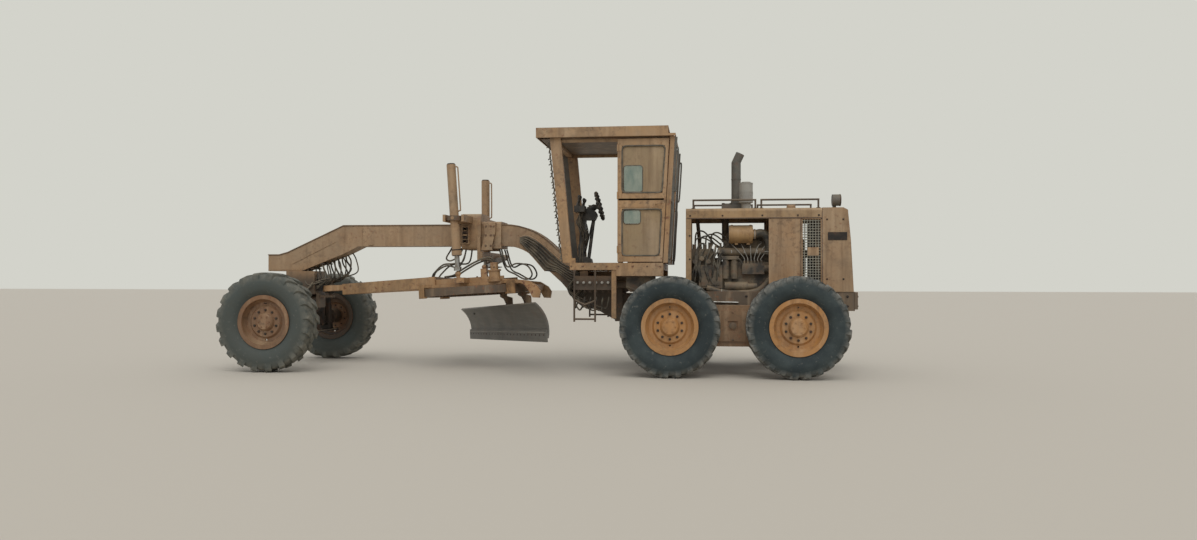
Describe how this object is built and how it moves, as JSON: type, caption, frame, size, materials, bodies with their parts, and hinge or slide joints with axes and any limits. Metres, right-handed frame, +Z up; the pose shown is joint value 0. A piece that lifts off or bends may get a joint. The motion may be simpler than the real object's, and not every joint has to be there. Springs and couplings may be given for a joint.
{
  "type": "motor grader",
  "caption": "Articulated motor grader with a tandem drive, open-sided cab, long front beam, drawbar, turning circle and a curved blade between the axles.",
  "frame": {"origin": "middle of the bounding box at ground level; the middle plane of the machine lies at y = -0.139 m, for the blade stands out more on the right", "axes": "+X to the rear, +Y to the right side, +Z up; the machine faces -X"},
  "size_m": [8.16, 3.2639, 3.11],
  "materials": {
    "paint": "faded dusty ochre paint with rust",
    "dark_paint": "dark greasy paint",
    "engine_iron": "oily cast iron",
    "mesh": "painted wire mesh",
    "rusty_steel": "rusty steel pipe",
    "precleaner_plastic": "weathered dark plastic",
    "lamp": "dusty lamp body",
    "dark_plastic": "worn dark plastic",
    "seat_cover": "worn dark cover",
    "rod_chrome": "dull plated rod",
    "blade_steel": "worn smooth steel",
    "rim_rust": "rusty ochre paint",
    "rim_paint": "ochre paint",
    "tyre_rubber": "dusty worn rubber"
  },
  "bodies": {
    "rear_frame": {"rear_frame": "paint", "tandem_cases": "paint", "axle_housing": "dark_paint", "engine": "engine_iron", "air_cleaner": "dark_paint", "hood": "paint", "side_panels": "paint", "side_grilles": "mesh", "tail_cowl": "paint", "exhaust_stack": "rusty_steel", "precleaner": "precleaner_plastic", "rear_lamp": "lamp"},
    "front_frame": {"main_frame": "paint", "lift_saddle": "paint", "front_axle": "paint", "steps": "paint", "cab_floor": "dark_paint", "cab_frame": "paint", "cab_roof": "paint", "console": "dark_plastic", "steering_wheel": "dark_plastic", "seat": "seat_cover"},
    "door_left": {"door_left": "paint"},
    "lean_arm_left": {"lean_arm_left": "paint"},
    "knuckle_left": {"knuckle_left": "dark_paint"},
    "bend_barrel_left": {"bend_barrel_left": "dark_paint"},
    "bend_rod_left": {"bend_rod_left": "rod_chrome"},
    "lift_gimbal_left": {"lift_gimbal_left": "dark_paint"},
    "lift_barrel_left": {"lift_barrel_left": "paint"},
    "lift_rod_left": {"lift_rod_left": "rod_chrome"},
    "wheel_front_left": {"tyre_front_left": "tyre_rubber", "rim_front_left": "rim_rust"},
    "wheel_mid_left": {"tyre_mid_left": "tyre_rubber", "rim_mid_left": "rim_paint"},
    "wheel_rear_left": {"tyre_rear_left": "tyre_rubber", "rim_rear_left": "rim_paint"},
    "door_right": {"door_right": "paint"},
    "lean_arm_right": {"lean_arm_right": "paint"},
    "knuckle_right": {"knuckle_right": "dark_paint"},
    "bend_barrel_right": {"bend_barrel_right": "dark_paint"},
    "bend_rod_right": {"bend_rod_right": "rod_chrome"},
    "lift_gimbal_right": {"lift_gimbal_right": "dark_paint"},
    "lift_barrel_right": {"lift_barrel_right": "paint"},
    "lift_rod_right": {"lift_rod_right": "rod_chrome"},
    "wheel_front_right": {"tyre_front_right": "tyre_rubber", "rim_front_right": "rim_rust"},
    "wheel_mid_right": {"tyre_mid_right": "tyre_rubber", "rim_mid_right": "rim_paint"},
    "wheel_rear_right": {"tyre_rear_right": "tyre_rubber", "rim_rear_right": "rim_paint"},
    "lean_bar": {"lean_bar": "dark_paint"},
    "tie_rod": {"tie_rod": "dark_paint"},
    "drawbar_ball": {"drawbar_ball": "dark_paint"},
    "drawbar": {"drawbar": "paint"},
    "circle": {"blade_circle": "dark_paint", "shift_barrel": "dark_paint"},
    "blade": {"blade": "blade_steel", "shift_rod": "rod_chrome"},
    "centre_barrel": {"centre_barrel": "paint"},
    "centre_rod": {"centre_rod": "rod_chrome"}
  },
  "joints": [
    {"name": "articulation", "type": "hinge", "parent": "rear_frame", "child": "front_frame", "pos_m": [1.31, -0.139, 0.87], "axis": [0, 0, 1], "range_deg": [-20, 20]},
    {"name": "door_left", "type": "hinge", "parent": "front_frame", "child": "door_left", "pos_m": [1.045, -0.889, 1.9], "axis": [0, 0, -1], "range_deg": [0, 100]},
    {"name": "door_right", "type": "hinge", "parent": "front_frame", "child": "door_right", "pos_m": [1.045, 0.611, 1.9], "axis": [0, 0, 1], "range_deg": [0, 100]},
    {"name": "lean_left", "type": "hinge", "parent": "front_frame", "child": "lean_arm_left", "pos_m": [-3.44, -0.799, 0.6], "axis": [1, 0, 0], "range_deg": [-18, 18]},
    {"name": "lean_right", "type": "hinge", "parent": "front_frame", "child": "lean_arm_right", "pos_m": [-3.44, 0.521, 0.6], "axis": [1, 0, 0], "range_deg": [-18.02, 18.02]},
    {"name": "lean_bar_swing", "type": "hinge", "parent": "lean_arm_left", "child": "lean_bar", "pos_m": [-3.655, -0.739, 0.95], "axis": [1, 0, 0], "range_deg": [-19.79, 19.79]},
    {"name": "steer_left", "type": "hinge", "parent": "lean_arm_left", "child": "knuckle_left", "pos_m": [-3.44, -0.899, 0.64], "axis": [0, 0, 1], "range_deg": [-50, 50]},
    {"name": "steer_right", "type": "hinge", "parent": "lean_arm_right", "child": "knuckle_right", "pos_m": [-3.44, 0.621, 0.64], "axis": [0, 0, 1], "range_deg": [-50.05, 50.05]},
    {"name": "tie_rod_slide", "type": "slide", "parent": "front_frame", "child": "tie_rod", "axis": [0, 1, 0], "range_m": [-0.09202, 0.09202]},
    {"name": "wheel_front_left_spin", "type": "hinge", "parent": "knuckle_left", "child": "wheel_front_left", "pos_m": [-3.44, -1.159, 0.64], "axis": [0, 1, 0], "continuous": true},
    {"name": "wheel_mid_left_spin", "type": "hinge", "parent": "rear_frame", "child": "wheel_mid_left", "pos_m": [1.716, -1.159, 0.62], "axis": [0, 1, 0], "continuous": true},
    {"name": "wheel_rear_left_spin", "type": "hinge", "parent": "rear_frame", "child": "wheel_rear_left", "pos_m": [3.24, -1.159, 0.62], "axis": [0, 1, 0], "continuous": true},
    {"name": "wheel_front_right_spin", "type": "hinge", "parent": "knuckle_right", "child": "wheel_front_right", "pos_m": [-3.44, 0.881, 0.64], "axis": [0, 1, 0], "continuous": true},
    {"name": "wheel_mid_right_spin", "type": "hinge", "parent": "rear_frame", "child": "wheel_mid_right", "pos_m": [1.716, 0.881, 0.62], "axis": [0, 1, 0], "continuous": true},
    {"name": "wheel_rear_right_spin", "type": "hinge", "parent": "rear_frame", "child": "wheel_rear_right", "pos_m": [3.24, 0.881, 0.62], "axis": [0, 1, 0], "continuous": true},
    {"name": "bend_barrel_left_swing", "type": "hinge", "parent": "front_frame", "child": "bend_barrel_left", "pos_m": [0.58, -0.489, 1.13], "axis": [0, 0, 1], "range_deg": [-5.33, 5.33]},
    {"name": "bend_rod_left_slide", "type": "slide", "parent": "bend_barrel_left", "child": "bend_rod_left", "axis": [0.9944, -0.1058, 0], "range_m": [-0.14781, 0.14781]},
    {"name": "bend_barrel_right_swing", "type": "hinge", "parent": "front_frame", "child": "bend_barrel_right", "pos_m": [0.58, 0.211, 1.13], "axis": [0, 0, 1], "range_deg": [-5.33, 5.33]},
    {"name": "bend_rod_right_slide", "type": "slide", "parent": "bend_barrel_right", "child": "bend_rod_right", "axis": [0.9944, 0.1058, 0], "range_m": [-0.14781, 0.14781]},
    {"name": "centre_shift", "type": "hinge", "parent": "front_frame", "child": "drawbar_ball", "pos_m": [-3.04, -0.139, 1.06], "axis": [0, 0, 1], "range_deg": [-6, 6]},
    {"name": "blade_lift", "type": "hinge", "parent": "drawbar_ball", "child": "drawbar", "pos_m": [-3.04, -0.139, 1.06], "axis": [0, -1, 0], "range_deg": [-25, 2.3]},
    {"name": "circle_turn", "type": "hinge", "parent": "drawbar", "child": "circle", "pos_m": [-0.96889, -0.14376, 0.97994], "axis": [-0.0628, 0.0227, 0.9978], "continuous": true},
    {"name": "blade_shift", "type": "slide", "parent": "circle", "child": "blade", "axis": [-0.4887, 0.871, -0.0506], "range_m": [-0.51, 0.66]},
    {"name": "lift_gimbal_left_swing", "type": "hinge", "parent": "front_frame", "child": "lift_gimbal_left", "pos_m": [-1.088, -0.79247, 1.98], "axis": [1, 0, 0], "range_deg": [-16.25, 16.25]},
    {"name": "lift_barrel_left_swing", "type": "hinge", "parent": "lift_gimbal_left", "child": "lift_barrel_left", "pos_m": [-1.088, -0.79247, 1.98], "axis": [0, 1, 0], "range_deg": [-0.44, 4.76]},
    {"name": "lift_rod_left_slide", "type": "slide", "parent": "lift_barrel_left", "child": "lift_rod_left", "axis": [0.0698, 0, -0.9976], "range_m": [-0.07876, 0.85607]},
    {"name": "lift_gimbal_right_swing", "type": "hinge", "parent": "front_frame", "child": "lift_gimbal_right", "pos_m": [-1, 0.5022, 1.98], "axis": [1, 0, 0], "range_deg": [-16.01, 16.01]},
    {"name": "lift_barrel_right_swing", "type": "hinge", "parent": "lift_gimbal_right", "child": "lift_barrel_right", "pos_m": [-1, 0.5022, 1.98], "axis": [0, 1, 0], "range_deg": [-0.27, 2.97]},
    {"name": "lift_rod_right_slide", "type": "slide", "parent": "lift_barrel_right", "child": "lift_rod_right", "axis": [0.0068, 0, -1], "range_m": [-0.08037, 0.87354]},
    {"name": "centre_barrel_swing", "type": "hinge", "parent": "front_frame", "child": "centre_barrel", "pos_m": [-0.74, 0.561, 1.5], "axis": [1, 0, 0], "range_deg": [-3.87, 42.03]},
    {"name": "centre_rod_slide", "type": "slide", "parent": "centre_barrel", "child": "centre_rod", "axis": [-0.0162, -0.991, -0.1329], "range_m": [-0.23795, 0.23795]}
  ],
  "couplings": [
    {"joint": "lean_right", "follows": "lean_left", "ratio": 1},
    {"joint": "lean_bar_swing", "follows": "lean_left", "ratio": -1.0985},
    {"joint": "steer_right", "follows": "steer_left", "ratio": 1},
    {"joint": "tie_rod_slide", "follows": "steer_left", "m_per_rad": 0.10534},
    {"joint": "bend_barrel_left_swing", "follows": "articulation", "ratio": -0.26643},
    {"joint": "bend_rod_left_slide", "follows": "articulation", "m_per_rad": -0.42303},
    {"joint": "bend_barrel_right_swing", "follows": "articulation", "ratio": -0.26643},
    {"joint": "bend_rod_right_slide", "follows": "articulation", "m_per_rad": 0.42303},
    {"joint": "lift_gimbal_left_swing", "follows": "centre_shift", "ratio": 2.7049},
    {"joint": "lift_barrel_left_swing", "follows": "blade_lift", "ratio": -0.19038},
    {"joint": "lift_rod_left_slide", "follows": "blade_lift", "m_per_rad": -1.96},
    {"joint": "lift_gimbal_right_swing", "follows": "centre_shift", "ratio": 2.6657},
    {"joint": "lift_barrel_right_swing", "follows": "blade_lift", "ratio": -0.11878},
    {"joint": "lift_rod_right_slide", "follows": "blade_lift", "m_per_rad": -2},
    {"joint": "centre_barrel_swing", "follows": "blade_lift", "ratio": -1.6794},
    {"joint": "centre_rod_slide", "follows": "centre_shift", "m_per_rad": -2.27}
  ]
}
